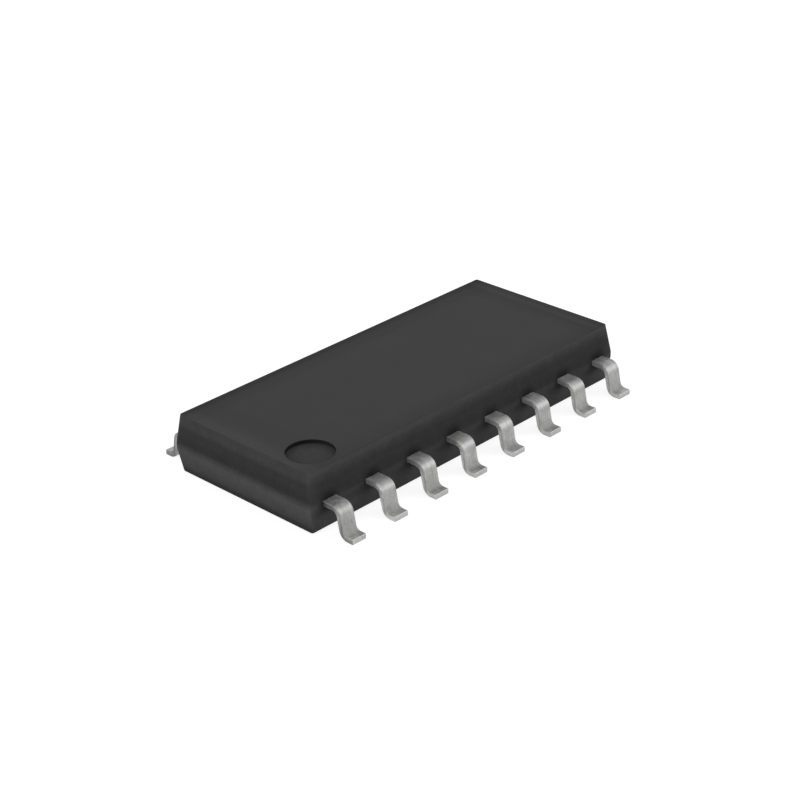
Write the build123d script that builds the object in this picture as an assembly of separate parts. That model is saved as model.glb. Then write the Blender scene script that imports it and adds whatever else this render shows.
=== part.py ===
from build123d import *
import math
import os

# A sixteen-lead small-outline power management chip.
# The origin is on the seating plane, below the middle of the body. X runs along the body, away from
# pin one. Y runs across it, away from leads 1 to 8. Z is up. Lengths are in millimetres.

# Moulded body
body_length = 10.0
body_width = 4.4
body_height = 1.45
standoff = 0.025
mould_draft = 8.0
corner_radius = 0.05
edge_radius = 0.03

# Marks that the mould leaves on the body
pin_one_diameter = 1.1
pin_one_depth = 0.1
pin_one_inset = 0.7
ejector_diameter = 1.0
ejector_depth = 0.04
ejector_spacing = 6.0

# Leads, from the wall of the body to the toe
leads_per_side = 8
lead_pitch = 1.27
lead_width = 0.4
lead_thickness = 0.125
shoulder_length = 0.27
bend_radius = 0.125
leg_lean = 10.5
foot_length = 0.16

# Leads, inside the body
anchor_width = 0.7
anchor_length = 0.3
anchor_depth = 0.15
finger_gap = 0.25
finger_space = 0.2
finger_radius = 0.3
end_diagonals = (0.8, 0.35)

# Die pad, which is one piece with the four middle leads
pad_length = 4.6
pad_width = 2.1
pad_corner = 0.15
pad_downset = 0.2
web_land = 0.25
web_slope = 0.3
heat_leads = (leads_per_side // 2, leads_per_side // 2 + 1)

# Chip and the adhesive under it
die_length = 2.6
die_width = 1.5
die_thickness = 0.25
attach_thickness = 0.025
attach_margin = 0.06

# Bond wires
wire_diameter = 0.05
wire_sides = 8
ball_diameter = 0.1
ball_height = 0.03
bond_inset = 0.12
bond_pitch = 0.5
end_bond_pitch = 0.4
neck_height = 0.11
loop_height = 0.18
loop_lead_in = 0.07
stitch_inset = 0.15
stitch_run = 0.18
stitch_height = 0.1
stitch_overrun = 0.1

# Levels that everything shares. The leads leave the body with their tops at half its height
half_width = body_width / 2
lead_top = standoff + body_height / 2
lead_level = lead_top - lead_thickness / 2
lead_bottom = lead_top - lead_thickness
pad_level = lead_level - pad_downset
pad_top = pad_level + lead_thickness / 2
die_bottom = pad_top + attach_thickness
die_top = die_bottom + die_thickness
body_top = standoff + body_height
top_inset = (body_top - lead_top) * math.tan(math.radians(mould_draft))
bottom_inset = (lead_bottom - standoff) * math.tan(math.radians(mould_draft))
path_radius = bend_radius + lead_thickness / 2
root_end = -half_width + anchor_depth
web_end = -pad_width / 2 - web_land - web_slope


def lead_x(number):
    # place along the body of leads 1 to 8, which fill the near row from pin one onwards
    return (number - (leads_per_side + 1) / 2) * lead_pitch


def place_from_middle(number):
    # 1 for the two middle leads of a row, and one more for each pair outwards
    return int(abs(number - (leads_per_side + 1) / 2) + 0.5)


def rank_from_end(number):
    # 0 for the outermost two leads of a row, and one more for each pair inwards
    return leads_per_side // 2 - place_from_middle(number)


def strip(width, points, radius):
    # metal strip of lead thickness, bent in the YZ plane along a centre line, centred on X
    centre_line = Plane.YZ * FilletPolyline(*points, radius=radius)
    start = Plane(origin=(0, *points[0]), x_dir=(1, 0, 0), z_dir=(0, -1, 0))
    return sweep(start * Rectangle(width, lead_thickness), path=centre_line)


def gull_wing():
    # the formed part outside the wall: shoulder, leaning leg and foot
    lean = math.radians(leg_lean)
    bend_reach = path_radius * math.tan((math.pi / 2 - lean) / 2)
    knee = half_width + shoulder_length + bend_reach
    heel = knee + lead_bottom * math.tan(lean)
    toe = heel + bend_reach + foot_length
    foot_level = lead_thickness / 2
    points = [(-half_width, lead_level), (-knee, lead_level), (-heel, foot_level), (-toe, foot_level)]
    return strip(lead_width, points, path_radius)


def finger_route(number):
    # plan of an inner finger from the wall to its tip. The outer fingers of a row turn round to the
    # end of the pad, and the others run straight to its long side
    x = lead_x(number)
    rank = rank_from_end(number)
    if rank >= len(end_diagonals):
        return [(x, -half_width), (x, -pad_width / 2 - finger_gap)]
    side = math.copysign(1, x)
    diagonal = end_diagonals[rank]
    tip_x = side * (pad_length / 2 + finger_gap)
    tip_y = -(finger_space + lead_width) * (rank + 0.5)
    return [(x, -half_width), (x, tip_y - diagonal), (x - side * diagonal, tip_y), (tip_x, tip_y)]


def finger(number):
    # flat inner finger, with a wider stretch near the wall that keys it into the moulding
    route = finger_route(number)
    line = Polyline(*route) if len(route) == 2 else FilletPolyline(*route, radius=finger_radius)
    anchor = Pos(lead_x(number), root_end + anchor_length / 2) * Rectangle(anchor_width, anchor_length)
    plan = trace(line, line_width=lead_width) + anchor
    return Pos(0, 0, lead_bottom) * extrude(plan, amount=lead_thickness)


def signal_lead(number):
    return finger(number) + Pos(lead_x(number), 0, 0) * gull_wing()


def heat_side():
    # the two middle leads of the near row and the web that joins them and steps down to the pad
    left, right = (lead_x(number) for number in heat_leads)
    points = [(root_end, lead_level), (web_end, lead_level),
              (web_end + web_slope, pad_level), (-pad_width / 2, pad_level)]
    web = Pos((left + right) / 2, 0, 0) * strip(right - left + lead_width, points, path_radius)
    root = Pos(0, root_end - anchor_depth / 2, lead_level) * Box(lead_width, anchor_depth, lead_thickness)
    wing = root + gull_wing()
    return web + Pos(left, 0, 0) * wing + Pos(right, 0, 0) * wing


def die_pad():
    plate = RectangleRounded(pad_length, pad_width, pad_corner)
    pad = Pos(0, 0, pad_level - lead_thickness / 2) * extrude(plate, amount=lead_thickness)
    side = heat_side()
    return pad + side + Rot(0, 0, 180) * side


def die_attach():
    layer = Rectangle(die_length + 2 * attach_margin, die_width + 2 * attach_margin)
    return Pos(0, 0, pad_top) * extrude(layer, amount=attach_thickness)


def silicon_die():
    return Pos(0, 0, die_bottom) * extrude(Rectangle(die_length, die_width), amount=die_thickness)


def bond_start(number):
    # place of a wire's ball on the die, along its long edge or its end
    side = math.copysign(1, lead_x(number))
    rank = rank_from_end(number)
    if rank < len(end_diagonals):
        return Vector(side * (die_length / 2 - bond_inset), -end_bond_pitch * (rank + 0.5), die_top)
    along = side * bond_pitch * (place_from_middle(number) - 0.5)
    return Vector(along, -die_width / 2 + bond_inset, die_top)


def bond_end(number):
    # place of a wire's stitch: on the web's shelf, or a little back from the tip of the finger
    if number in heat_leads:
        return Vector(lead_x(number), (root_end + web_end) / 2, lead_top)
    before, tip = (Vector(*point, lead_top) for point in finger_route(number)[-2:])
    return tip + (before - tip).normalized() * stitch_inset


def bond_wire(number):
    # ball, neck, long flat loop and stitch. The wire is drawn too long and cut level with the metal
    base = bond_start(number)
    landing = bond_end(number)
    rise = Vector(0, 0, 1)
    along = Vector(landing.X - base.X, landing.Y - base.Y, 0).normalized()
    neck = base + rise * neck_height
    crest = base + along * loop_lead_in + rise * loop_height
    descent = landing - along * stitch_run + rise * stitch_height
    overrun = landing + (landing - descent).normalized() * stitch_overrun
    line = Polyline(base, neck, crest, descent, overrun)
    section = Pos(base) * RegularPolygon(wire_diameter / 2, wire_sides)
    long_wire = sweep(section, path=line, transition=Transition.RIGHT)
    wire = split(long_wire, bisect_by=Plane.XY.offset(lead_top), keep=Keep.TOP)
    ball = Pos(base) * extrude(RegularPolygon(ball_diameter / 2, wire_sides), amount=ball_height)
    return wire + ball


def body_outline(level, inset):
    # plan of the body at a level, smaller all round than the band by the inset
    plan = RectangleRounded(body_length - 2 * inset, body_width - 2 * inset, corner_radius)
    return Pos(0, 0, level) * plan


def outer_form():
    # straight band as thick as the leads, with drafted sides above and below it
    band_bottom = body_outline(lead_bottom, 0)
    band_top = body_outline(lead_top, 0)
    band = extrude(band_bottom, amount=lead_thickness)
    upper = loft([band_top, body_outline(body_top, top_inset)], ruled=True)
    lower = loft([band_bottom, body_outline(standoff, bottom_inset)], ruled=True)
    block = band + upper + lower
    levels = block.edges().group_by(Axis.Z)
    return fillet(levels[0] + levels[-1], edge_radius)


def mould_marks():
    # shallow round recesses: pin one's on top, and two ejector pins' on the underside
    pin_one_x = -body_length / 2 + top_inset + pin_one_inset
    pin_one_y = -half_width + top_inset + pin_one_inset
    pin_one = Pos(pin_one_x, pin_one_y, body_top) * Cylinder(pin_one_diameter / 2, 2 * pin_one_depth)
    ejector = Pos(0, 0, standoff) * Cylinder(ejector_diameter / 2, 2 * ejector_depth)
    return [pin_one] + [Pos(side * ejector_spacing / 2, 0, 0) * ejector for side in (-1, 1)]


def all_inner_parts():
    # every piece that the moulding surrounds, by name. The far row is the near row turned half a turn
    parts = {"die_pad_and_heat_leads": die_pad(), "die_attach": die_attach(), "silicon_die": silicon_die()}
    for number in range(1, leads_per_side + 1):
        opposite = number + leads_per_side
        wire = bond_wire(number)
        parts[f"bond_wire_{number:02d}"] = wire
        parts[f"bond_wire_{opposite:02d}"] = Rot(0, 0, 180) * wire
        if number not in heat_leads:
            lead = signal_lead(number)
            parts[f"lead_{number:02d}"] = lead
            parts[f"lead_{opposite:02d}"] = Rot(0, 0, 180) * lead
    return parts


parts = all_inner_parts()
parts["moulded_body"] = outer_form() - mould_marks() - list(parts.values())
os.makedirs("parts", exist_ok=True)
for name, solid in parts.items():
    export_step(solid, f"parts/{name}.step")
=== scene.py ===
import math

import bmesh
import bpy
import numpy as np
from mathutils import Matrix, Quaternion, Vector


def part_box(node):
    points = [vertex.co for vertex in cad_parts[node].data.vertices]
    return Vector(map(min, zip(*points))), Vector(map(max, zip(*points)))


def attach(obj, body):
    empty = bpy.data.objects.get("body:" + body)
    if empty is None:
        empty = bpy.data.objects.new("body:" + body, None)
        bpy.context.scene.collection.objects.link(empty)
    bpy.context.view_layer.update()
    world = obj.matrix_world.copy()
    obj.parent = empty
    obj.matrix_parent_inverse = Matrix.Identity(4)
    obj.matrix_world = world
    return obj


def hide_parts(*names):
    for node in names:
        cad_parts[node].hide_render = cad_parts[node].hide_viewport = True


# A sixteen-lead small-outline power management chip. The moulding and every lead are new surfaces round the
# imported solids, the bond wires are redrawn round, and the chip and its adhesive keep their own solids.
# X runs along the body away from pin one, Y across it away from leads 1 to 8, and Z is up

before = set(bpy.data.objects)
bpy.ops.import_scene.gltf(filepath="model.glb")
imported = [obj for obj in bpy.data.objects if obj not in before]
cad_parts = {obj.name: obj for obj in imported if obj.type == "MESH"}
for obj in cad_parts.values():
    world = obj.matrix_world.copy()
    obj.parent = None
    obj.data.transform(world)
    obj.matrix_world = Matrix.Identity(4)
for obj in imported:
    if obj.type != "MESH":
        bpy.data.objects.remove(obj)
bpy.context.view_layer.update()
mm = 0.001
print("frame loaded,", len(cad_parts), "nodes")

# Levels that everything shares, read from the solids
bodyLow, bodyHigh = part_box("moulded_body")
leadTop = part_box("lead_01")[1].z
sheetHalf = 0.0625 * mm
leadLevel = leadTop - sheetHalf
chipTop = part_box("silicon_die")[1].z

# Metres below which two points are one, and a point lies on the middle line x = 0
samePlace = 1e-8
onMiddle = 1e-9

lead = {
    "perSide": 8,
    "pitch": 1.27 * mm,
    "width": 0.4 * mm,
    "shoulder": 0.27 * mm,
    "bendRadius": 0.125 * mm,
    "lean": math.radians(10.5),
    "footLength": 0.16 * mm,
    "edgeRadius": 0.014 * mm,
    "anchorWidth": 0.7 * mm,
    "anchorLength": 0.3 * mm,
    "anchorDepth": 0.15 * mm,
    "fingerGap": 0.25 * mm,
    "fingerSpace": 0.2 * mm,
    "fingerRadius": 0.3 * mm,
    "endDiagonals": (0.8 * mm, 0.35 * mm),
    "rowSpacing": 0.045 * mm,
    "bendSteps": 12,
    # points of a rounded edge of the metal, and of its flat sides as shares of their half
    "ringSteps": 4,
    "ringShares": (0.9, 0.5),
    # rows of a rounded end, scale of its support row, and radii from the end to the next row
    "endSteps": 3,
    "endSupport": 0.8,
    "endClear": 1.5,
}


# Surfaces as arrays

def cumulative(points):
    # length along a line of points: s(0) = 0, s(i) = s(i - 1) + |p(i) - p(i - 1)|
    steps = np.linalg.norm(np.diff(points, axis=0), axis=1)
    return np.concatenate([[0.0], np.cumsum(steps)])


def roundedLine(corners, radii, arcSteps):
    # straight runs with a tangent arc at each corner. With a and b the directions before and after, turn =
    # acos(a.b) and n = (b - a cos(turn)) / sin(turn), the arc is
    # corner - r tan(turn / 2) a + r n + r (sin(t) a - cos(t) n), and its direction is cos(t) a + sin(t) n
    corners = np.array(corners, float)
    runs = np.diff(corners, axis=0)
    ways = runs / np.linalg.norm(runs, axis=1, keepdims=True)
    points, tangents = [corners[:1]], [ways[:1]]
    for corner, a, b, radius in zip(corners[1:-1], ways[:-1], ways[1:], radii):
        turn = math.acos(min(1.0, float(a @ b)))
        n = (b - a * math.cos(turn)) / math.sin(turn)
        t = np.linspace(0, turn, arcSteps + 1)[:, None]
        centre = corner - radius * math.tan(turn / 2) * a + radius * n
        points.append(centre + radius * (np.sin(t) * a - np.cos(t) * n))
        tangents.append(np.cos(t) * a + np.sin(t) * n)
    points.append(corners[-1:])
    tangents.append(ways[-1:])
    return np.concatenate(points), np.concatenate(tangents)


def atStations(line, stations):
    # points and unit directions of a line at given lengths along it
    points, tangents = line
    s = cumulative(points)
    place = np.stack([np.interp(stations, s, points[:, k]) for k in range(3)], axis=1)
    way = np.stack([np.interp(stations, s, tangents[:, k]) for k in range(3)], axis=1)
    return place, way / np.linalg.norm(way, axis=1, keepdims=True)


def spreadStations(line, spacing):
    # the line's own points, and more of them along its straight runs, never nearer than a tenth of the
    # spacing
    own = cumulative(line[0])
    extra = np.arange(spacing, own[-1], spacing)
    clear = np.abs(extra[:, None] - own[None, :]).min(axis=1) > spacing / 10
    return np.sort(np.concatenate([own, extra[clear]]))


def ringOfStrip(cornerSteps, shares):
    # unit ring of a rounded rectangle: base (ux, uy) within the inner rectangle, and outward normal (nx,
    # ny), so that its outline is (ux (a - r) + r nx, uy (b - r) + r ny). Each side holds points at +-shares
    # of its half
    bases, normals = [], []
    for quarter in range(4):
        t = np.linspace(0, math.pi / 2, cornerSteps + 1) + quarter * math.pi / 2
        corner = np.array([[1, 1], [-1, 1], [-1, -1], [1, -1]][quarter], float)
        bases.append(np.tile(corner, (cornerSteps + 1, 1)))
        normals.append(np.stack([np.cos(t), np.sin(t)], axis=1))
        ahead = np.array([[-1, 0], [0, -1], [1, 0], [0, 1]][quarter], float)
        across = corner * (1 - np.abs(ahead))
        along = np.concatenate([-np.array(shares), np.array(shares)[::-1]])
        bases.append(across + ahead * along[:, None])
        normals.append(np.tile(across, (len(along), 1)))
    return np.concatenate(bases), np.concatenate(normals)


def endRows(radius, steps, support):
    # rows of a rounded, closed end: (distance from the end, inset of the outline, scale of the inner
    # section). It is a pole, a support row and then distance = r (1 - cos t), inset = r (1 - sin t)
    t = np.linspace(0, math.pi / 2, steps + 1)
    rounding = np.stack([radius * (1 - np.cos(t)), radius * (1 - np.sin(t)), np.ones(steps + 1)], axis=1)
    return np.concatenate([[[0, radius, 0], [0, radius, support]], rounding])


def sweptStrip(line, stations, halfWidth, radius, ring):
    # S(s, t) = P(s) + (k ux (w - r) + (r - e) nx) W + (k uy (h - r) + (r - e) ny) N, with the level width
    # axis W = Z x T and N = T x W, w(s) the half width, h the half thickness, e the inset and k the scale
    # of the ends
    length = stations[-1]
    ends = endRows(radius, lead["endSteps"], lead["endSupport"])
    clear = lead["endClear"] * radius
    middle = stations[(stations > clear) & (stations < length - clear)]
    s = np.concatenate([ends[:, 0], middle, length - ends[::-1, 0]])
    inset = np.concatenate([ends[:, 1], np.zeros(len(middle)), ends[::-1, 1]])[:, None]
    scale = np.concatenate([ends[:, 2], np.ones(len(middle)), ends[::-1, 2]])[:, None]
    place, way = atStations(line, s)
    across = np.cross([0.0, 0.0, 1.0], way)
    across /= np.linalg.norm(across, axis=1, keepdims=True)
    normal = np.cross(way, across)
    base, outward = ring
    wide = halfWidth(s)[:, None]
    x = scale * base[:, 0] * (wide - radius) + (radius - inset) * outward[:, 0]
    y = scale * base[:, 1] * (sheetHalf - radius) + (radius - inset) * outward[:, 1]
    grid = place[:, None] + x[..., None] * across[:, None] + y[..., None] * normal[:, None]
    return grid, s


def newObject(name, data):
    made = bpy.data.objects.new(name, data)
    bpy.context.scene.collection.objects.link(made)
    return made


def makePiece(name, grids, maps=None, marks=None):
    # points[row, column] of every grid become quads whose columns close on themselves, a row that is one
    # point becomes a pole, and grids that share an edge are welded there. maps holds (u, v) for each row
    # and column with one column more, and marks one number for each point
    points, corners, places, first = [], [], [], 0
    for number, grid in enumerate(grids):
        rows, columns = grid.shape[:2]
        i, j = np.meshgrid(np.arange(rows - 1), np.arange(columns), indexing="ij")
        ahead = (j + 1) % columns
        near, far = i * columns, (i + 1) * columns
        quads = np.stack([near + j, near + ahead, far + ahead, far + j], -1)
        points.append(grid.reshape(-1, 3))
        corners.append(first + quads.reshape(-1, 4))
        first += rows * columns
        if maps:
            uv = maps[number]
            faces = np.stack([uv[i, j], uv[i, j + 1], uv[i + 1, j + 1], uv[i + 1, j]], -2)
            places.append(faces.reshape(-1, 2))
    points, corners = np.concatenate(points), np.concatenate(corners)
    mesh = bpy.data.meshes.new(name)
    mesh.vertices.add(len(points))
    mesh.vertices.foreach_set("co", points.astype(np.float32).ravel())
    mesh.loops.add(corners.size)
    mesh.loops.foreach_set("vertex_index", corners.astype(np.int32).ravel())
    mesh.polygons.add(len(corners))
    mesh.polygons.foreach_set("loop_start", np.arange(0, corners.size, 4, dtype=np.int32))
    mesh.update(calc_edges=True)
    if maps:
        mesh.uv_layers.new(name="alongLead")
        mesh.uv_layers[0].data.foreach_set("uv", np.concatenate(places).astype(np.float32).ravel())
    for key, values in (marks or {}).items():
        values = np.concatenate([value.ravel() for value in values]).astype(np.float32)
        mesh.attributes.new(key, "FLOAT", "POINT").data.foreach_set("value", values)
    shape = bmesh.new()
    shape.from_mesh(mesh)
    bmesh.ops.remove_doubles(shape, verts=shape.verts, dist=samePlace)
    bmesh.ops.recalc_face_normals(shape, faces=shape.faces)
    shape.to_mesh(mesh)
    shape.free()
    mesh.polygons.foreach_set("use_smooth", np.ones(len(mesh.polygons), bool))
    return newObject(name, mesh)


# Materials

nodeRows = {"perRow": 8, "across": 220, "down": 320}
noiseSpan = (0.3, 0.7)  # the part of a noise that its mask spreads over 0 to 1
coarseScale = 0.22  # scale of the coarse grain against the fine


def feed(tree, node, inputs):
    # each value goes into the socket of its name or number: a number, a colour or another node's output
    for key, value in inputs.items():
        socket = node.inputs[key.replace("_", " ") if isinstance(key, str) else key]
        if isinstance(value, (int, float)):
            socket.default_value = value
        elif isinstance(value, tuple):
            socket.default_value = (*value, 1)
        else:
            tree.links.new(value, socket)


def addNode(tree, kind, **inputs):
    # nodes stand in rows, in the order in which they are made
    node = tree.nodes.new(kind)
    row, column = divmod(len(tree.nodes), nodeRows["perRow"])
    node.location = (column * nodeRows["across"], -row * nodeRows["down"])
    feed(tree, node, inputs)
    return node


def mathNode(tree, operation, *values):
    node = addNode(tree, "ShaderNodeMath")
    node.operation = operation
    feed(tree, node, dict(enumerate(values)))
    return node.outputs[0]


def mixColours(tree, factor, a, b, blend="MIX"):
    node = addNode(tree, "ShaderNodeMix")
    node.data_type, node.blend_type = "RGBA", blend
    feed(tree, node, {0: factor, 6: a, 7: b})
    return node.outputs[2]


def multiplied(tree, colour, tone):
    return mixColours(tree, 1.0, colour, tone, "MULTIPLY")


def rangeNode(tree, value, start=(0.0, 1.0), end=(0.0, 1.0), shape="LINEAR"):
    # a value moved from one range to another, and held within it
    node = addNode(tree, "ShaderNodeMapRange", Value=value, From_Min=start[0], From_Max=start[1])
    feed(tree, node, {"To Min": end[0], "To Max": end[1]})
    node.interpolation_type = shape
    return node.outputs[0]


def rampNode(tree, factor, stops):
    # grey steps at places from 0 to 1
    node = addNode(tree, "ShaderNodeValToRGB")
    feed(tree, node, {0: factor})
    marks = node.color_ramp.elements
    while len(marks) < len(stops):
        marks.new(0.5)
    for mark, (place, level) in zip(marks, stops):
        mark.position, mark.color = place, (level, level, level, 1)
    return node.outputs[0]


def markOf(tree, name):
    # a number that a piece's points carry
    node = addNode(tree, "ShaderNodeAttribute")
    node.attribute_name = name
    return node.outputs["Fac"]


def axesOf(tree, vector):
    return addNode(tree, "ShaderNodeSeparateXYZ", Vector=vector).outputs


def newGroup(name, **inputs):
    # a group with a vector and numbers going in, and a mask and a height coming out
    group = bpy.data.node_groups.new(name, "ShaderNodeTree")
    new = group.interface.new_socket
    new(name="Vector", in_out="INPUT", socket_type="NodeSocketVector")
    for key, value in inputs.items():
        socket = new(name=key.replace("_", " "), in_out="INPUT", socket_type="NodeSocketFloat")
        socket.default_value = value
    for label in ("Mask", "Height"):
        new(name=label, in_out="OUTPUT", socket_type="NodeSocketFloat")
    return group, group.nodes.new("NodeGroupInput").outputs, group.nodes.new("NodeGroupOutput")


def makeGrainGroup():
    # pitted grain: coarse and fine noise mixed, as a height and as a mask from 0 to 1
    group, given, end = newGroup("fineGrain", Grain_size=0.03 * mm, Coarse_share=0.3)
    scale = mathNode(group, "DIVIDE", 1.0, given["Grain size"])
    wide = mathNode(group, "MULTIPLY", scale, coarseScale)
    vector = given["Vector"]
    fine = addNode(group, "ShaderNodeTexNoise", Vector=vector, Scale=scale, Detail=3.0, Roughness=0.6)
    coarse = addNode(group, "ShaderNodeTexNoise", Vector=vector, Scale=wide, Detail=2.0, Roughness=0.5)
    mixed = addNode(group, "ShaderNodeMix")
    feed(group, mixed, {0: given["Coarse share"], 2: fine.outputs["Fac"], 3: coarse.outputs["Fac"]})
    feed(group, end, {"Height": mixed.outputs[0], "Mask": rangeNode(group, mixed.outputs[0], noiseSpan)})
    return group


def makeStreakGroup():
    # drawn or rolled metal: noise squeezed across the metal and stretched along it
    group, given, end = newGroup("rolledStreaks", Across=40.0, Along=1.5)
    squeeze = addNode(group, "ShaderNodeCombineXYZ", X=given["Across"], Y=given["Along"], Z=given["Along"])
    stretch = addNode(group, "ShaderNodeVectorMath")
    stretch.operation = "MULTIPLY"
    feed(group, stretch, {0: given["Vector"], 1: squeeze.outputs[0]})
    noise = addNode(group, "ShaderNodeTexNoise", Vector=stretch.outputs[0], Scale=1.0, Detail=4.0,
                    Roughness=0.65, Distortion=0.4).outputs["Fac"]
    feed(group, end, {"Height": noise, "Mask": rangeNode(group, noise, noiseSpan)})
    return group


def newMaterial(name, metallic, roughness, **sockets):
    material = bpy.data.materials.new(name)
    material.use_nodes = True
    tree = material.node_tree
    shader = tree.nodes["Principled BSDF"]
    feed(tree, shader, {"Metallic": metallic, "Roughness": roughness, **sockets})
    return material, tree, shader


def coordinatesOf(tree):
    return addNode(tree, "ShaderNodeTexCoord").outputs


def useGroup(tree, group, vector, **inputs):
    node = addNode(tree, "ShaderNodeGroup")
    node.node_tree = group
    feed(tree, node, {"Vector": vector, **inputs})
    return node.outputs


def roughnessFrom(tree, mask, look):
    # the look's roughness, less and more by its spread where the mask is 0 and 1
    return rangeNode(tree, mask, end=[look["roughness"] + spread for spread in look["roughnessSpread"]])


def bumpFrom(tree, shader, height, look):
    bump = addNode(tree, "ShaderNodeBump", Height=height, Strength=look["bump"], Distance=look["bumpDepth"])
    feed(tree, shader, {"Normal": bump.outputs["Normal"]})


grain = makeGrainGroup()
streaks = makeStreakGroup()

body = {
    "draft": math.radians(8),
    "cornerRadius": 0.05 * mm,
    "edgeRadius": 0.03 * mm,
    "bandSoftening": 0.01 * mm,
    "support": 0.02 * mm,
    "cornerSteps": 10,
    "edgeSteps": 9,
    "pinOneRadius": 0.55 * mm,
    "pinOneDepth": 0.1 * mm,
    "pinOneInset": 0.7 * mm,
    "ejectorRadius": 0.5 * mm,
    "ejectorDepth": 0.04 * mm,
    "ejectorSpacing": 6.0 * mm,
    "rimRadius": 0.012 * mm,
    "rimSteps": 4,
    "pinOneRays": 120,
    "ejectorRays": 72,
    "seamPoints": 40,
    # least distance from a ray's column to a fixed one, and between columns
    "rayGap": 0.015 * mm,
    "columnGap": 0.004 * mm,
    # rows of a flat face as shares of the way in to the recess, and of a recess's floor as shares of its
    # radius
    "faceRows": (0.0, 0.3, 0.6, 0.85),
    "floorRows": (0.93, 0.8, 0.5),
}

compound = {
    "colour": (0.057, 0.057, 0.0575),
    "paleColour": (0.064, 0.064, 0.0645),
    "roughness": 0.56,
    "roughnessSpread": (-0.04, 0.06),
    "gloss": 0.02,
    "grainSize": 0.035 * mm,
    "coarseShare": 0.35,
    "mottleSize": 0.9 * mm,
    "bump": 0.35,
    "bumpDepth": 0.004 * mm,
    # height from the underside, 0 to 1, and the tone of painted light and shade on the end walls and on the
    # long walls there
    "endWallShading": (
        (0.0, 0.28), (0.07, 0.31), (0.12, 0.5), (0.19, 0.6), (0.33, 0.7), (0.41, 0.74), (0.45, 0.61),
        (0.495, 0.49), (0.54, 0.325), (0.6, 0.31), (0.68, 0.355), (0.77, 0.355), (0.85, 0.49), (0.93, 0.5),
        (0.98, 0.5), (1.0, 0.8)),
    "sideWallShading": (
        (0.0, 0.88), (0.12, 0.94), (0.19, 0.95), (0.26, 0.82), (0.34, 0.65), (0.43, 0.65), (0.466, 0.64),
        (0.493, 0.51), (0.52, 0.46), (0.6, 0.45), (0.7, 0.47), (0.75, 0.46), (0.81, 0.52), (0.88, 0.63),
        (0.93, 0.77), (0.98, 0.82), (1.0, 0.8)),
    # share of the way across the top from its near long edge, and along it from pin one's end, with tones of
    # painted light and shade near the edges
    "rimAcross": (
        (0.0, 0.9), (0.03, 0.905), (0.06, 0.93), (0.12, 0.985), (0.16, 1.0), (0.84, 1.0), (0.86, 0.96),
        (0.88, 0.93), (0.93, 0.9), (0.94, 0.86), (0.952, 0.79), (0.966, 0.71), (0.98, 0.67), (1.0, 0.7)),
    "rimAlong": (
        (0.0, 0.88), (0.006, 1.0), (0.02, 1.0), (0.03, 0.925), (0.036, 0.9), (0.04, 0.885), (0.05, 0.86),
        (0.08, 0.855), (0.12, 0.895), (0.91, 0.895), (0.939, 0.83), (0.949, 0.775), (0.959, 0.795),
        (0.964, 0.865), (0.969, 0.92), (0.974, 0.885), (0.98, 0.825), (0.984, 0.74), (0.991, 0.765),
        (1.0, 0.77)),
    # heights, 0 to 1, where the walls' speckle gives way to the tones of the top
    "topStart": (0.975, 0.995),
    "wallGrain": 0.07 * mm,
    "wallCoarseShare": 0.4,
    "wallTones": (0.85, 1.15),
    # painted shade in the recesses: its tone, and its strength by the share of the depth and on the rows of
    # the floor
    "recessTone": 0.22,
    "recessMarks": ((0.0, 0.0), (0.12, 1.0), (0.9, 1.0), (1.0, 0.3)),
    "floorMarks": (0.27, 0.22, 0.2, 0.2),
    # tone of the painted highlight along the ridges, their reach on the end and the long walls, and their
    # strength by height in mm
    "ridgeTone": 1.4,
    "ridgeReach": (0.06 * mm, 0.3 * mm),
    "ridgeRows": (0.35, 0.7, 1.0),
    "ridgeOnEnds": ((0.1, 0), (0.65, 0.25), (0.85, 1), (1.25, 0.8), (1.4, 0.5)),
    "ridgeOnSides": ((0.1, 0), (0.35, 0.5), (0.6, 0.9), (0.9, 1), (1.1, 0.9), (1.25, 0.4), (1.4, 0.3)),
    # strength of the painted highlight along the top edge of the end walls
    "topRidge": 0.3,
    # painted shade round the leads' roots: its tone, reach, core and squeeze across
    "haloTone": 0.42,
    "haloReach": 0.27 * mm,
    "haloCore": 0.05 * mm,
    "haloSqueeze": 0.85,
}


def paintedRootShade(tree, axes):
    # painted shade round each lead's root, from its tone to 1 at the reach: with u = x / pitch and z the
    # height, d = |(k max(pitch |fract(u) - 1/2| - core, 0), max(|z - level| - thickness / 2, 0))|
    c = compound
    share = mathNode(tree, "FRACT", mathNode(tree, "DIVIDE", axes["X"], lead["pitch"]))
    beside = mathNode(tree, "ABSOLUTE", mathNode(tree, "SUBTRACT", share, 0.5))
    beside = mathNode(tree, "SUBTRACT", mathNode(tree, "MULTIPLY", beside, lead["pitch"]), c["haloCore"])
    beside = mathNode(tree, "MULTIPLY", mathNode(tree, "MAXIMUM", beside, 0.0), c["haloSqueeze"])
    above = mathNode(tree, "ABSOLUTE", mathNode(tree, "SUBTRACT", axes["Z"], leadLevel))
    above = mathNode(tree, "MAXIMUM", mathNode(tree, "SUBTRACT", above, sheetHalf), 0.0)
    squares = [mathNode(tree, "POWER", value, 2.0) for value in (beside, above)]
    distance = mathNode(tree, "SQRT", mathNode(tree, "ADD", *squares))
    return rangeNode(tree, distance, (0.0, c["haloReach"]), (c["haloTone"], 1.0), "SMOOTHSTEP")


def paintedRimLight(tree, axes, height, below):
    # painted light and shade of the top near its edges, the product of a ramp across it and one along it, and
    # another tone below it
    inset = (bodyHigh.z - leadTop) * math.tan(body["draft"])
    tones = []
    for axis, edge, stops in (("Y", bodyHigh.y, "rimAcross"), ("X", bodyHigh.x, "rimAlong")):
        share = rangeNode(tree, axes[axis], (inset - edge, edge - inset))
        tones.append(rampNode(tree, share, compound[stops]))
    onTop = rangeNode(tree, height, compound["topStart"])
    return mixColours(tree, onTop, below, multiplied(tree, *tones))


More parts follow.
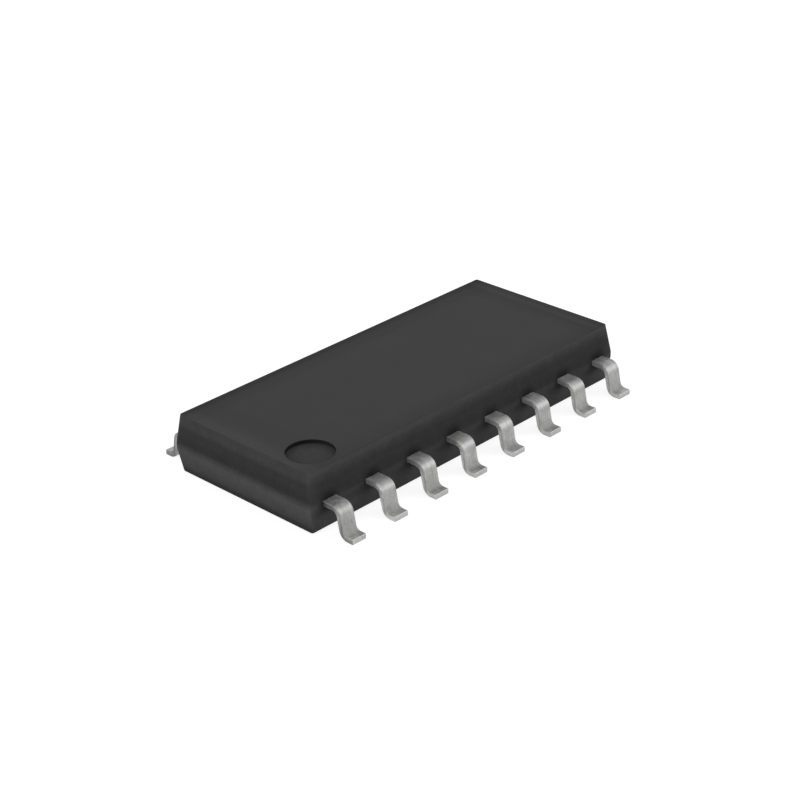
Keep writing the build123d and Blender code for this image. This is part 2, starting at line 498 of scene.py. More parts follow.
def mouldCompound():
    # matt black epoxy: a slight mottle, painted light and shade by height on the walls and near the edges of
    # the top, painted shade round the leads and in the recesses, and a painted highlight, a little lighter,
    # along its ridges
    c = compound
    material, tree, shader = newMaterial("mouldCompound", 0.0, c["roughness"], Specular_IOR_Level=c["gloss"])
    vector = coordinatesOf(tree)["Object"]
    axes = axesOf(tree, vector)
    fine = useGroup(tree, grain, vector, Grain_size=c["grainSize"], Coarse_share=c["coarseShare"])
    mottle = addNode(tree, "ShaderNodeTexNoise", Vector=vector, Scale=1 / c["mottleSize"], Detail=3.0,
                     Roughness=0.55)
    colour = mixColours(tree, mottle.outputs["Fac"], c["colour"], c["paleColour"])
    # painted light and shade on the walls by height
    height = rangeNode(tree, axes["Z"], (bodyLow.z, bodyHigh.z))
    sides, ends = (rampNode(tree, height, c[stops]) for stops in ("sideWallShading", "endWallShading"))
    walls = mixColours(tree, markOf(tree, "endWall"), sides, ends)
    speckle = useGroup(tree, grain, vector, Grain_size=c["wallGrain"], Coarse_share=c["wallCoarseShare"])
    below = rangeNode(tree, speckle["Mask"], end=c["wallTones"])
    # painted light and shade on the walls by height, round the leads' roots and near the top's edges
    tones = [walls, paintedRootShade(tree, axes), paintedRimLight(tree, axes, height, below)]
    # painted shade in the recesses and a painted highlight along the ridges
    for key in ("recess", "ridge"):
        tones.append(mixColours(tree, markOf(tree, key), (1, 1, 1), (c[key + "Tone"],) * 3))
    for tone in tones:
        colour = multiplied(tree, colour, tone)
    feed(tree, shader, {"Base Color": colour, "Roughness": roughnessFrom(tree, fine["Mask"], c)})
    bumpFrom(tree, shader, fine["Height"], c)
    return material


tin = {
    "colour": (0.55, 0.55, 0.546),
    "dullColour": (0.37, 0.37, 0.367),
    "cutColour": (0.49, 0.49, 0.487),
    # painted shade in the heel's concave bend, and the roughness added there
    "heelTone": 0.96,
    "heelRoughness": 0.25,
    # shares of the heel bend, from the foot, where its painted shade and added roughness start, are full,
    # fade and end
    "heelShares": (-0.15, 0.3, 0.75, 1.15),
    # distance out from the wall, 0 to 1 mm, with tones of painted light and shade: shoulder, formed knee, leg
    # and foot
    "outwardLeadShading": (
        (0.0, 0.95), (0.1, 0.92), (0.26, 0.9), (0.33, 0.65), (0.395, 0.63), (0.45, 0.66), (0.49, 0.68),
        (0.53, 0.735), (0.68, 0.745), (0.75, 0.86), (1.0, 0.86)),
    # the same painted light and shade on the sheared sides of the metal: tones to multiply by the gain
    "shearedSideShading": (
        (0.0, 0.64), (0.24, 0.64), (0.3, 0.7), (0.4, 0.9), (0.45, 0.96), (0.5, 0.74), (0.53, 0.5),
        (0.56, 0.52), (0.61, 0.71), (1.0, 0.7)),
    "shearGain": 1.4,
    "openSideShade": 0.42,
    "endLead": (lead["perSide"] - 1) / 2 * lead["pitch"],
    "formReach": 1.0 * mm,
    "cloudGrain": 0.05 * mm,
    "cloudCoarseShare": 0.5,
    "cloudTones": (0.74, 1.23),
    "copper": (0.62, 0.34, 0.2),
    "silver": (0.72, 0.7, 0.66),
    "roughness": 0.5,
    "roughnessSpread": (-0.05, 0.1),
    "streaksAcross": 28.0,
    "streaksAlong": 1.6,
    # steps of the streaks' place from lead to lead, in mm, so that no two match
    "streakSteps": (3.7, 5.3),
    "bump": 0.25,
    "bumpDepth": 0.003 * mm,
    "silverReach": 1.62 * mm,
    "wallOverlap": 0.02 * mm,
}


def tinnedLeadframe():
    # satin tin outside the wall with streaks along the metal, brighter on the cut toe. Inside the wall it is
    # bare copper alloy, with silver round the die where the wires are bonded
    t = tin
    material, tree, shader = newMaterial("tinnedLeadframe", 1.0, t["roughness"])
    where = coordinatesOf(tree)
    axes = axesOf(tree, where["Object"])
    lines = useGroup(tree, streaks, where["UV"], Across=t["streaksAcross"], Along=t["streaksAlong"])
    cloud = useGroup(tree, grain, where["Object"], Grain_size=t["cloudGrain"],
                     Coarse_share=t["cloudCoarseShare"])
    outside = mixColours(tree, lines["Mask"], t["dullColour"], t["colour"])
    outside = mixColours(tree, markOf(tree, "cutFace"), outside, t["cutColour"])
    reach = mathNode(tree, "ABSOLUTE", axes["Y"])
    beyond = rangeNode(tree, reach, (bodyHigh.y, bodyHigh.y + t["formReach"]))
    # painted light and shade along each lead by its distance out from the wall, on its faces and on its
    # sheared sides
    faces, sheared = (rampNode(tree, beyond, t[stops]) for stops in ("outwardLeadShading", "shearedSideShading"))
    sheared = multiplied(tree, sheared, (t["shearGain"],) * 3)
    # no neighbour shades the outer sides of the end leads, and painted shade darkens them
    endward = mathNode(tree, "GREATER_THAN", mathNode(tree, "ABSOLUTE", axes["X"]), t["endLead"])
    openSide = mathNode(tree, "MULTIPLY_ADD", endward, t["openSideShade"] - 1, 1.0)
    sheared = multiplied(tree, sheared, openSide)
    formed = mixColours(tree, markOf(tree, "side"), faces, sheared)
    spotted = rangeNode(tree, cloud["Mask"], end=t["cloudTones"])
    # painted shade and more roughness in the heel's concave bend
    heel = markOf(tree, "heel")
    heelShade = mathNode(tree, "MULTIPLY_ADD", heel, t["heelTone"] - 1, 1.0)
    for tone in (formed, spotted, heelShade):
        outside = multiplied(tree, outside, tone)
    beyondWall = mathNode(tree, "GREATER_THAN", reach, bodyHigh.y - t["wallOverlap"])
    nearDie = mathNode(tree, "LESS_THAN", reach, t["silverReach"])
    inside = mixColours(tree, nearDie, t["copper"], t["silver"])
    rough = roughnessFrom(tree, cloud["Mask"], t)
    rough = mathNode(tree, "MULTIPLY_ADD", heel, t["heelRoughness"], rough)
    feed(tree, shader, {"Base Color": mixColours(tree, beyondWall, inside, outside), "Roughness": rough})
    bumpFrom(tree, shader, mathNode(tree, "ADD", lines["Height"], cloud["Height"]), t)
    return material


adhesive = {
    "colour": (0.55, 0.55, 0.53),
    "metallic": 0.4,
    "roughness": 0.5,
    "flakeSize": 0.02 * mm,
    "flakeTones": ((0.0, 1.0), (0.5, 0.55), (1.0, 0.4)),
    "bump": 0.4,
    "bumpDepth": 0.004 * mm,
}


def silverAdhesive():
    # grey epoxy full of silver flakes
    a = adhesive
    material, tree, shader = newMaterial("silverAdhesive", a["metallic"], a["roughness"])
    vector = coordinatesOf(tree)["Object"]
    flakes = addNode(tree, "ShaderNodeTexVoronoi", Vector=vector, Scale=1 / a["flakeSize"])
    fine = useGroup(tree, grain, vector, Grain_size=a["flakeSize"])
    tone = rampNode(tree, flakes.outputs["Distance"], a["flakeTones"])
    feed(tree, shader, {"Base Color": multiplied(tree, a["colour"], tone), "Metallic": fine["Mask"]})
    bumpFrom(tree, shader, fine["Height"], a)
    return material


circuit = {
    "bare": (0.16, 0.17, 0.19),
    "fields": ((0.10, 0.19, 0.24), (0.27, 0.21, 0.16)),
    "lines": (0.42, 0.40, 0.36),
    "metallic": 0.35,
    "roughness": 0.25,
    "roughnessSpread": (-0.1, 0.1),
    "polishGrain": 0.01 * mm,
    "blockWidth": 0.34 * mm,
    "blockGap": 0.03,
    "lineWidth": 0.016 * mm,
    "lineGap": 0.12,
    "skin": 0.003 * mm,
    "bump": 0.3,
    "bumpDepth": 0.001 * mm,
}


def siliconChip():
    # bare silicon on the sides and, on the top skin, blocks of circuit in muted tones crossed by fine tracks
    c = circuit
    material, tree, shader = newMaterial("siliconChip", c["metallic"], c["roughness"])
    vector = coordinatesOf(tree)["Object"]
    blocks, tracks = (addNode(tree, "ShaderNodeTexBrick", Vector=vector, Scale=1 / c[key + "Width"],
                              Mortar_Size=c[key + "Gap"]) for key in ("block", "line"))
    feed(tree, blocks, {"Color1": c["fields"][0], "Color2": c["fields"][1], "Mortar": c["lines"]})
    etched = mixColours(tree, tracks.outputs["Fac"], blocks.outputs["Color"], c["lines"])
    onTop = mathNode(tree, "GREATER_THAN", axesOf(tree, vector)["Z"], chipTop - c["skin"])
    polish = useGroup(tree, grain, vector, Grain_size=c["polishGrain"])
    rough = roughnessFrom(tree, polish["Mask"], c)
    feed(tree, shader, {"Base Color": mixColours(tree, onTop, c["bare"], etched), "Roughness": rough})
    bumpFrom(tree, shader, tracks.outputs["Fac"], c)
    return material


gold = {
    "colour": (0.95, 0.7, 0.32),
    "deepColour": (0.82, 0.56, 0.2),
    "roughness": 0.22,
    "streaksAcross": 30.0,
    "streaksAlong": 4.0,
    "bump": 0.15,
    "bumpDepth": 0.001 * mm,
}


def goldWire():
    # drawn gold: faint die lines and slight colour drift
    g = gold
    material, tree, shader = newMaterial("goldWire", 1.0, g["roughness"])
    vector = coordinatesOf(tree)["UV"]
    lines = useGroup(tree, streaks, vector, Across=g["streaksAcross"], Along=g["streaksAlong"])
    feed(tree, shader, {"Base Color": mixColours(tree, lines["Mask"], g["deepColour"], g["colour"])})
    bumpFrom(tree, shader, lines["Height"], g)
    return material


materials = {
    "mould_compound": mouldCompound(),
    "tinned_leadframe": tinnedLeadframe(),
    "die_attach": silverAdhesive(),
    "silicon": siliconChip(),
    "bond_wire": goldWire(),
}
print("materials made")


def dress(piece, slot, *nodes):
    # finish, slot and body of a new piece, and the solids that it stands for
    piece.data.materials.clear()
    piece.data.materials.append(materials[slot])
    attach(piece, "root")
    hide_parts(*nodes)


# Moulded body

def sideProfile():
    # section through a wall as (inset from the band, height), from the underside to the top: rounded edge,
    # drafted wall, straight band as thick as the leads, drafted wall and rounded edge
    slope = math.tan(body["draft"])
    bandLow = leadLevel - sheetHalf
    lowInset, highInset = (bandLow - bodyLow.z) * slope, (bodyHigh.z - leadTop) * slope
    landing = body["edgeRadius"] * math.tan((math.pi / 2 - body["draft"]) / 2) + body["support"]
    bandRadius = body["bandSoftening"] / math.tan(body["draft"] / 2)
    corners = [(lowInset + landing, bodyLow.z), (lowInset, bodyLow.z), (0, bandLow)]
    corners += [(0, leadTop), (highInset, bodyHigh.z), (highInset + landing, bodyHigh.z)]
    radii = [body["edgeRadius"], bandRadius, bandRadius, body["edgeRadius"]]
    line, _ = roundedLine(corners, radii, body["edgeSteps"])
    return line, highInset


def planColumns(centres):
    # columns round the plan: a base on the inner rectangle and an outward normal, so that the outline at an
    # inset is base (inner - inset) / inner + R normal. Corners have even angles, and the sides have points
    # where even rays from the recesses' centres meet them: base = c + min(tx, ty) d, with tx and ty the
    # lengths to the sides
    radius = body["cornerRadius"]
    inner = np.array([bodyHigh.x - radius, bodyHigh.y - radius])
    bases, normals = [], []
    for centre, rays in centres:
        t = (np.arange(rays) + 0.5) * 2 * math.pi / rays
        d = np.stack([np.cos(t), np.sin(t)], axis=1)
        lengths = (np.sign(d) * inner - centre) / d
        nearest = lengths.argmin(axis=1)
        bases.append(centre + lengths.min(axis=1)[:, None] * d)
        normals.append(np.sign(d) * np.eye(2)[nearest])
    rays = (np.concatenate(bases), np.concatenate(normals))
    t = np.linspace(0, math.pi / 2, body["cornerSteps"] + 1)
    quarter = np.stack([np.cos(t), np.sin(t)], axis=1)
    signs = np.array([[1, 1], [-1, 1], [-1, -1], [1, -1]], float)
    middles = np.array([[0.0, 1.0], [0.0, -1.0]])
    fixedBases = [np.tile(sign * inner, (len(t), 1)) for sign in signs] + [middles * inner]
    fixedNormals = [quarter * sign for sign in signs] + [middles]
    # columns where the painted highlight along the upright corners fades out
    for axis, reach in zip(np.eye(2)[::-1], compound["ridgeReach"]):
        for share in compound["ridgeRows"]:
            fixedBases.append(signs * (inner - axis * reach * share))
            fixedNormals.append(signs * axis[::-1])
    fixedBases, fixedNormals = np.concatenate(fixedBases), np.concatenate(fixedNormals)
    apart = np.linalg.norm(rays[0][:, None] - fixedBases[None], axis=2).min(axis=1) > body["rayGap"]
    base = np.concatenate([fixedBases, rays[0][apart]])
    normal = np.concatenate([fixedNormals, rays[1][apart]])
    outline = base + radius * normal
    order = np.argsort(np.arctan2(outline[:, 1], outline[:, 0]))
    base, normal, outline = base[order], normal[order], outline[order]
    steps = np.linalg.norm(outline - np.roll(outline, 1, axis=0), axis=1)
    keep = (steps > body["columnGap"]) | (np.abs(outline[:, 0]) < onMiddle)
    return base[keep], normal[keep], inner


def recessProfile(radius, depth):
    # section of a round recess as (distance from its centre, depth): support row, rounded rim, wall and
    # floor, and the strength of the recess's painted shade at each row
    rim = body["rimRadius"]
    corners = [(radius + 2 * rim, 0), (radius, 0), (radius, depth), (0, depth)]
    line, _ = roundedLine(corners, [rim, rim], body["rimSteps"])
    marks = np.interp(line[:-1, 1] / depth, *zip(*compound["recessMarks"]))
    floor = [(radius * share, depth) for share in (*body["floorRows"], 0)]
    return np.concatenate([line[:-1], floor]), np.concatenate([marks, compound["floorMarks"]])


def polarFace(outline, centre, profile, level, inward):
    # flat face from its outline to a round recess: p(f, k) = outline(k) + f (rim(k) - outline(k)), and then
    # the recess, centre + radius u(k), with u the unit ray to the outline and the depth going inward
    ray = outline - centre
    unit = ray / np.linalg.norm(ray, axis=1, keepdims=True)
    sections, marks = profile
    shares = np.array(body["faceRows"])[:, None, None]
    rim = centre + sections[0, 0] * unit
    flat = outline + shares * (rim - outline)
    recess = centre + sections[:, :1, None] * unit
    plan = np.concatenate([flat, recess])
    depth = np.concatenate([np.zeros(len(shares)), sections[:, 1]])
    height = np.broadcast_to((level + inward * depth)[:, None, None], (*plan.shape[:2], 1))
    mark = np.broadcast_to(np.concatenate([np.zeros(len(shares)), marks])[:, None], plan.shape[:2])
    return np.concatenate([plan, height], axis=2), mark


def mouldedBody():
    # side walls: base(k) (inner - inset(i)) / inner + R normal(k) at height(i), round the whole plan. The
    # top is one polar face round pin one's recess, and the underside is two, one round each ejector mark,
    # that meet at x = 0
    profile, highInset = sideProfile()
    pinOne = np.array([bodyLow.x, bodyLow.y]) + highInset + body["pinOneInset"]
    ejectors = [np.array([side * body["ejectorSpacing"] / 2, 0.0]) for side in (-1, 1)]
    rays = [(pinOne, body["pinOneRays"])] + [(ejector, body["ejectorRays"]) for ejector in ejectors]
    base, normal, inner = planColumns(rays)
    plan = base * (inner - profile[:, :1, None]) / inner + body["cornerRadius"] * normal
    height = np.broadcast_to(profile[:, 1, None, None], (*plan.shape[:2], 1))
    walls = np.concatenate([plan, height], axis=2)
    endWall = np.tile(normal[:, 0] ** 2, (len(profile), 1))
    endWall[0] = 0
    # marks for the painted highlight along the upright corners and along the top edge of the end walls
    reach = np.where(normal[:, 0] ** 2 > normal[:, 1] ** 2, *compound["ridgeReach"])
    corner = np.clip(1 - np.linalg.norm(np.abs(base) - inner, axis=1) / reach, 0, 1)
    onEnds, onSides = (np.interp(profile[:, 1] / mm, *zip(*compound[key]))[:, None]
                       for key in ("ridgeOnEnds", "ridgeOnSides"))
    upright = onSides + (onEnds - onSides) * endWall
    fromTop = np.abs(profile[:, 1] - bodyHigh.z) / body["edgeRadius"]
    alongTop = compound["topRidge"] * np.clip(1 - fromTop, 0, 1)[:, None] * endWall
    ridge = np.maximum(alongTop, corner * upright)
    ridge[[0, -1]] = 0
    topRecess = recessProfile(body["pinOneRadius"], body["pinOneDepth"])
    topFace, topMark = polarFace(plan[-1], pinOne, topRecess, bodyHigh.z, -1)
    grids = [walls, topFace]
    none = topMark * 0
    marks = {"recess": [endWall * 0, topMark], "ridge": [ridge, none], "endWall": [endWall, none]}
    ejectorRecess = recessProfile(body["ejectorRadius"], body["ejectorDepth"])
    for side, ejector in zip((-1, 1), ejectors):
        half = plan[0] * side
        half = half[half[:, 0] > -onMiddle]
        half = half[np.argsort(np.arctan2(half[:, 1], half[:, 0]))]
        seam = np.linspace(half[-1, 1], half[0, 1], body["seamPoints"])[1:-1]
        outline = np.concatenate([half, np.stack([np.zeros(len(seam)), seam], axis=1)]) * side
        face, mark = polarFace(outline, ejector, ejectorRecess, bodyLow.z, 1)
        grids.append(face)
        for key, values in marks.items():
            values.append(mark if key == "recess" else mark * 0)
    dress(makePiece("bodyMoulding", grids, marks=marks), "mould_compound", "moulded_body")


mouldedBody()
print("moulded body made")


# Leads

pad = {
    "length": 4.6 * mm,
    "width": 2.1 * mm,
    "corner": 0.15 * mm,
    "downset": 0.2 * mm,
    "webLand": 0.25 * mm,
    "webSlope": 0.3 * mm,
    "rootOverlap": 0.12 * mm,
    "bendSteps": 6,
    "cornerSteps": 8,
    "rowSpacing": 0.2 * mm,
}
stripRing = ringOfStrip(lead["ringSteps"], lead["ringShares"])
pathRadius = lead["bendRadius"] + sheetHalf
heatLeads = (lead["perSide"] // 2, lead["perSide"] // 2 + 1)


def leadX(number):
    return (number - (lead["perSide"] + 1) / 2) * lead["pitch"]


def rankFromEnd(number):
    return lead["perSide"] // 2 - int(abs(number - (lead["perSide"] + 1) / 2) + 0.5)


def wingCorners(x):
    # wall, knee, heel and toe of the gull wing at x, each a corner of the centre line
    rise = leadLevel - sheetHalf
    bendReach = pathRadius * math.tan((math.pi / 2 - lead["lean"]) / 2)
    knee = bodyHigh.y + lead["shoulder"] + bendReach
    heel = knee + rise * math.tan(lead["lean"])
    toe = heel + bendReach + lead["footLength"]
    return [(x, -bodyHigh.y, leadLevel), (x, -knee, leadLevel), (x, -heel, sheetHalf), (x, -toe, sheetHalf)]


def fingerCorners(number):
    # from the tip of the inner finger to the wall
    x = leadX(number)
    rank = rankFromEnd(number)
    if rank >= len(lead["endDiagonals"]):
        return [(x, -pad["width"] / 2 - lead["fingerGap"], leadLevel), (x, -bodyHigh.y, leadLevel)]
    side = math.copysign(1, x)
    diagonal = lead["endDiagonals"][rank]
    tipX = side * (pad["length"] / 2 + lead["fingerGap"])
    tipY = -(lead["fingerSpace"] + lead["width"]) * (rank + 0.5)
    plan = [(tipX, tipY), (x - side * diagonal, tipY), (x, tipY - diagonal), (x, -bodyHigh.y)]
    return [(*point, leadLevel) for point in plan]


def joinLines(first, second):
    return tuple(np.concatenate([a[:-1], b]) for a, b in zip(first, second))


def turned(grid):
    # the far row is the near row turned half a turn about Z
    return grid * (-1.0, -1.0, 1.0)


def bothRows(number, grid, s):
    # a grid of the near row with its number, and the same turned half round as the one opposite
    return (number, grid, s), (number + lead["perSide"], turned(grid), s)


def stripPiece(name, number, grid, s):
    # u goes round the metal and v along it, both in millimetres, with an offset so that no two leads match
    girth = cumulative(np.concatenate([grid[len(grid) // 2], grid[len(grid) // 2, :1]])) / mm
    roundStep, alongStep = tin["streakSteps"]
    u, v = np.meshgrid(girth + roundStep * number, s / mm + alongStep * number)
    fromToe = s[-1] - s
    cutFace = np.broadcast_to((fromToe < lead["edgeRadius"] / 2)[:, None] * 1.0, grid.shape[:2])
    # the heel's mark, for painted shade and more roughness in its concave bend
    bend = lead["footLength"] + pathRadius * (math.pi / 2 - lead["lean"]) * np.array(tin["heelShares"])
    upper = np.clip(stripRing[1][:, 1], 0, 1) ** 2
    heel = np.interp(fromToe, bend, [0, 1, 1, 0])[:, None] * upper * (number > 0)
    side = stripRing[1][:, 0] ** 2 * (1 - cutFace)
    marks = {"cutFace": [cutFace], "heel": [heel], "side": [side]}
    return makePiece(name, [grid], maps=[np.stack([u, v], axis=2)], marks=marks)


def signalLead(number):
    # strip carried from the finger's tip to the toe, wider where it keys into the moulding
    corners = fingerCorners(number)
    inner = roundedLine(corners, [lead["fingerRadius"]] * (len(corners) - 2), lead["bendSteps"])
    wing = roundedLine(wingCorners(leadX(number)), [pathRadius, pathRadius], lead["bendSteps"])
    line = joinLines(inner, wing)
    wall = cumulative(inner[0])[-1]
    step = lead["edgeRadius"]
    end = wall - lead["anchorDepth"]
    start = end - lead["anchorLength"]
    marks = [start - step, start, end, end + step]
    narrow, wide = lead["width"] / 2, lead["anchorWidth"] / 2
    stations = np.unique(np.concatenate([spreadStations(line, lead["rowSpacing"]), marks]))
    widths = [narrow, wide, wide, narrow]
    return sweptStrip(line, stations, lambda s: np.interp(s, marks, widths), step, stripRing)


def heatWing(number):
    # strip carried from inside the web to the toe
    x = leadX(number)
    root = (x, -bodyHigh.y + lead["anchorDepth"] + pad["rootOverlap"], leadLevel)
    wing = roundedLine([root] + wingCorners(x)[1:], [pathRadius, pathRadius], lead["bendSteps"])
    stations = spreadStations(wing, lead["rowSpacing"])
    half = lead["width"] / 2
    return sweptStrip(wing, stations, lambda s: np.full(len(s), half), lead["edgeRadius"], stripRing)


def padPlate():
    # one strip from web to web: its half width is the webs', and across the pad the pad's, with round corners
    # w = L / 2 - c + sqrt(c^2 - (c - d)^2), d being the distance from the pad's long edge
    level = leadLevel - pad["downset"]
    root = bodyHigh.y - lead["anchorDepth"]
    edge = pad["width"] / 2
    slopeFoot = edge + pad["webLand"]
    slopeHead = slopeFoot + pad["webSlope"]
    half = [(0, root, leadLevel), (0, slopeHead, leadLevel), (0, slopeFoot, level)]
    corners = half + [(x, -y, z) for x, y, z in half[::-1]]
    line = roundedLine(corners, [pathRadius] * 4, pad["bendSteps"])
    length = cumulative(line[0])[-1]
    middle = length / 2
    c = pad["corner"]
    d = c * (1 - np.cos(np.linspace(0, math.pi / 2, pad["cornerSteps"] + 1)))
    webHalf = (leadX(heatLeads[1]) - leadX(heatLeads[0]) + lead["width"]) / 2
    padHalf = pad["length"] / 2 - c + np.sqrt(np.maximum(c**2 - (c - d) ** 2, 0))
    places = np.concatenate([[edge + lead["edgeRadius"] / 2], edge - d])
    widths = np.concatenate([[webHalf], padHalf])
    marks = np.concatenate([middle - places, (middle + places)[::-1]])
    stations = np.unique(np.concatenate([spreadStations(line, pad["rowSpacing"]), marks]))
    shape = np.concatenate([widths, widths[::-1]])
    return sweptStrip(line, stations, lambda s: np.interp(s, marks, shape), lead["edgeRadius"], stripRing)


def readMarks(mesh):
    # the places of a mesh's points, and its marks by name
    points = np.empty(3 * len(mesh.vertices), np.float32)
    mesh.vertices.foreach_get("co", points)
    marks = {}
    for key in ("cutFace", "heel", "side"):
        marks[key] = np.empty(len(mesh.vertices), np.float32)
        mesh.attributes[key].data.foreach_get("value", marks[key])
    return points.reshape(-1, 3), marks


def carryMarks(mesh, sources):
    # a union mixes up the marks of its pieces, so each point takes those that its own place had before
    points, marks = readMarks(mesh)
    for key, carried in marks.items():
        carried[:] = 0
        for places, values in sources:
            marked = np.flatnonzero(values[key])
            if len(marked):
                apart = np.linalg.norm(points[:, None] - places[None, marked], axis=2)
                same = apart.min(axis=1) < samePlace
                carried[same] = values[key][marked[apart.argmin(axis=1)[same]]]
        mesh.attributes[key].data.foreach_set("value", carried)


def united(name, pieces):
    # one closed surface round several that run into each other
    sources = [readMarks(piece.data) for piece in pieces]
    whole = pieces[0]
    for other in pieces[1:]:
        union = whole.modifiers.new("union", "BOOLEAN")
        union.operation, union.solver, union.object = "UNION", "EXACT", other
    mesh = bpy.data.meshes.new_from_object(whole.evaluated_get(bpy.context.evaluated_depsgraph_get()))
    for piece in pieces:
        bpy.data.objects.remove(piece)
    carryMarks(mesh, sources)
    mesh.polygons.foreach_set("use_smooth", np.ones(len(mesh.polygons), bool))
    mesh.name = name
    return newObject(name, mesh)


def padAndHeatLeads():
    pieces = [stripPiece("plate", 0, *padPlate())]
    for number in heatLeads:
        pieces += [stripPiece("wing", *row) for row in bothRows(number, *heatWing(number))]
    dress(united("padWithHeatLeads", pieces), "tinned_leadframe", "die_pad_and_heat_leads")


for number in range(1, lead["perSide"] + 1):
    if number in heatLeads:
        continue
    for place, grid, s in bothRows(number, *signalLead(number)):
        piece = stripPiece(f"formedLead{place:02d}", place, grid, s)
        dress(piece, "tinned_leadframe", f"lead_{place:02d}")
padAndHeatLeads()
print("leads and pad made")


# Bond wires

wire = {
    "radius": 0.025 * mm,
    "ballRadius": 0.05 * mm,
    "ballHeight": 0.03 * mm,
    "inset": 0.12 * mm,
    "pitch": 0.5 * mm,
    "endPitch": 0.4 * mm,
    "neck": 0.11 * mm,
    "loopHeight": 0.18 * mm,
    "leadIn": 0.07 * mm,
    "stitchInset": 0.15 * mm,
    "stitchRun": 0.18 * mm,
    "stitchHeight": 0.1 * mm,
    "sides": 16,
    "bends": (0.08 * mm, 0.06 * mm, 0.12 * mm),
    "bendSteps": 7,
    "rowSpacing": 0.05 * mm,
    "rowGap": 0.01 * mm,
    # rows of the ball as shares of its height, and its radii there as shares, before it narrows to the wire's
    "ballRows": (0.0, 0.25, 0.6, 0.85, 1.0, 1.3),
    "ballSwell": (0.86, 0.97, 1.0, 0.9, 0.62),
    # height of the stitch's centre in radii, and the run over which the wire is pressed and how far
    "touch": 0.3,
    "pressRun": 0.12 * mm,
    "press": 0.7,
    # length round the wire in mm, for its streaks
    "girth": 0.16,
}
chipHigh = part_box("silicon_die")[1]


def bondStart(number):
    side = math.copysign(1, leadX(number))
    rank = rankFromEnd(number)
    if rank < len(lead["endDiagonals"]):
        return np.array([side * (chipHigh.x - wire["inset"]), -wire["endPitch"] * (rank + 0.5), chipTop])
    fromMiddle = lead["perSide"] // 2 - rank
    return np.array([side * wire["pitch"] * (fromMiddle - 0.5), -chipHigh.y + wire["inset"], chipTop])


def bondEnd(number):
    if number in heatLeads:
        root = bodyHigh.y - lead["anchorDepth"]
        webEnd = pad["width"] / 2 + pad["webLand"] + pad["webSlope"]
        return np.array([leadX(number), -(root + webEnd) / 2, leadTop])
    tip, before = (np.array([*corner[:2], leadTop]) for corner in fingerCorners(number)[:2])
    return tip + (before - tip) / np.linalg.norm(before - tip) * wire["stitchInset"]


def bondWire(number):
    # T(s, t) = P(s) + r(s) (cos(t) B + sin(t) N), B level and across the loop. r swells to a flat ball at the
    # start, and at the stitch the round wire is pressed out: wider by 1 + f and thinner by 1 - f
    base, landing = bondStart(number), bondEnd(number)
    flat = (landing - base) * (1, 1, 0)
    along = flat / np.linalg.norm(flat)
    up = np.array([0.0, 0.0, 1.0])
    neck = base + up * wire["neck"]
    crest = base + along * wire["leadIn"] + up * wire["loopHeight"]
    descent = landing - along * wire["stitchRun"] + up * wire["stitchHeight"]
    touch = landing + up * wire["radius"] * wire["touch"]
    line = roundedLine([base, neck, crest, descent, touch], wire["bends"], wire["bendSteps"])
    length = cumulative(line[0])[-1]
    ball = np.array(wire["ballRows"]) * wire["ballHeight"]
    swell = np.array([*wire["ballSwell"], wire["radius"] / wire["ballRadius"]]) * wire["ballRadius"]
    stations = spreadStations(line, wire["rowSpacing"])
    stations = np.concatenate([ball, stations[stations > ball[-1] + wire["rowGap"]]])
    place, way = atStations(line, stations)
    radius = np.interp(stations, ball, swell)[:, None]
    press = np.interp(stations, [length - wire["pressRun"], length], [0.0, wire["press"]])[:, None]
    across = np.cross(up, along)
    normal = np.cross(way, across)
    t = np.arange(wire["sides"]) * 2 * math.pi / wire["sides"]
    wide = (radius * (1 + press) * np.cos(t))[..., None] * across
    thick = (radius * (1 - press) * np.sin(t))[..., None] * normal[:, None]
    grid = place[:, None] + (wide + thick)
    grid[..., 2] = np.maximum(grid[..., 2], np.where(stations > length / 2, leadTop, chipTop)[:, None])
    start, end = (np.tile(place[row, None, None], (1, wire["sides"], 1)) for row in (0, -1))
    return np.concatenate([start, grid, end]), np.concatenate([stations[:1], stations, stations[-1:]])


def wirePiece(name, number, grid, s):
    u, v = np.meshgrid(np.linspace(0, 1, wire["sides"] + 1) * wire["girth"] + number, s / mm)
    return makePiece(name, [grid], maps=[np.stack([u, v], axis=2)])


for number in range(1, lead["perSide"] + 1):
    for place, grid, s in bothRows(number, *bondWire(number)):
        dress(wirePiece(f"goldWire{place:02d}", place, grid, s), "bond_wire", f"bond_wire_{place:02d}")
print("bond wires made")

for node, slot in (("silicon_die", "silicon"), ("die_attach", "die_attach")):
    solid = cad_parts[node]
    solid.data.materials.clear()
    solid.data.materials.append(materials[slot])


# Floor, light and camera

stage = {
    "floorSize": 900 * mm,
    "floorColour": (0.8, 0.8, 0.8),
    "floorRoughness": 0.9,
    "seenColour": (0.26, 0.26, 0.26),
    "lift": 0.84,
    "skyLight": 0.75,
    "keySize": 70 * mm,
    "keyPlace": (72 * mm, -72 * mm, 56 * mm),
    "keyPower": 0.048,
    "fillSize": 60 * mm,
    "fillPlace": (-110 * mm, 25 * mm, 30 * mm),
    "fillPower": 0.09,
}


def rayMask(tree):
    # 1 for rays that see the stage: from the camera, in a reflection or through glass
    path = addNode(tree, "ShaderNodeLightPath").outputs
    seen = mathNode(tree, "MAXIMUM", path["Is Camera Ray"], path["Is Glossy Ray"])
    return mathNode(tree, "MAXIMUM", seen, path["Is Transmission Ray"])


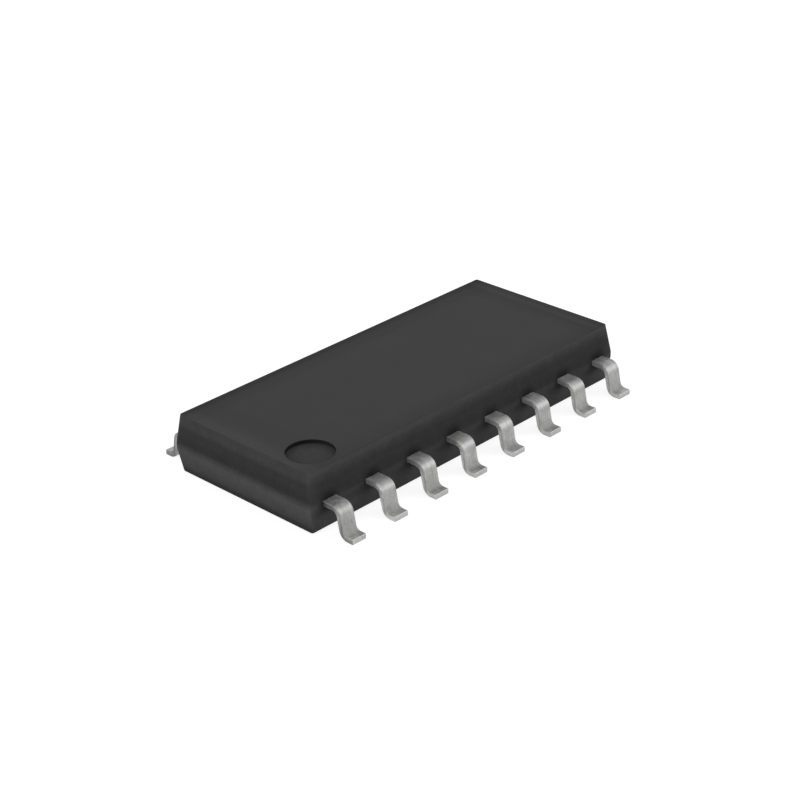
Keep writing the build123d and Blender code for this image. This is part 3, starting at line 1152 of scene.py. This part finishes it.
def plainFloor():
    half = stage["floorSize"] / 2
    mesh = bpy.data.meshes.new("floor")
    corners = [(-half, -half, 0), (half, -half, 0), (half, half, 0), (-half, half, 0)]
    mesh.from_pydata(corners, [], [(0, 1, 2, 3)])
    floor = newObject("floor", mesh)
    material, tree, shader = newMaterial("paleFloor", 0.0, stage["floorRoughness"], Specular_IOR_Level=0.0)
    seen = rayMask(tree)
    colour = mixColours(tree, seen, stage["floorColour"], stage["seenColour"])
    glow = mathNode(tree, "MULTIPLY", seen, stage["lift"])
    feed(tree, shader, {"Base Color": colour, "Emission Color": (1, 1, 1), "Emission Strength": glow})
    mesh.materials.append(material)


def paleWorld():
    world = bpy.data.worlds.new("paleWorld")
    bpy.context.scene.world = world
    world.use_nodes = True
    tree = world.node_tree
    strength = rangeNode(tree, rayMask(tree), end=(stage["skyLight"], 1.0))
    feed(tree, tree.nodes["Background"], {"Color": (1, 1, 1), "Strength": strength})


def softBox(name, place, size, power):
    light = bpy.data.lights.new(name, "AREA")
    light.shape, light.size, light.energy = "SQUARE", size, power
    lamp = newObject(name, light)
    lamp.location = place
    lamp.rotation_mode = "QUATERNION"
    lamp.rotation_quaternion = (Vector((0, 0, leadLevel)) - Vector(place)).to_track_quat("-Z", "Y")


view = {
    "azimuth": math.radians(-44.729),
    "elevation": math.radians(26.915),
    "distance": 45.2 * mm,
    "roll": math.radians(-2.081),
    "target": (-0.2289 * mm, -0.1589 * mm, 0.7576 * mm),
    "lens": 87.944,
    "sensor": 36.0,
}


def placeCamera():
    a, e = view["azimuth"], view["elevation"]
    back = Vector((math.sin(a) * math.cos(e), -math.cos(a) * math.cos(e), math.sin(e)))
    data = bpy.data.cameras.new("camera")
    data.lens, data.sensor_width, data.clip_start, data.clip_end = view["lens"], view["sensor"], 1 * mm, 5.0
    camera = newObject("camera", data)
    camera.location = Vector(view["target"]) + back * view["distance"]
    camera.rotation_mode = "QUATERNION"
    camera.rotation_quaternion = (-back).to_track_quat("-Z", "Y") @ Quaternion((0, 0, 1), view["roll"])
    bpy.context.scene.camera = camera


plainFloor()
paleWorld()
softBox("key", stage["keyPlace"], stage["keySize"], stage["keyPower"])
softBox("fill", stage["fillPlace"], stage["fillSize"], stage["fillPower"])
placeCamera()
bpy.context.scene.view_settings.view_transform = "Standard"
print("stage set")
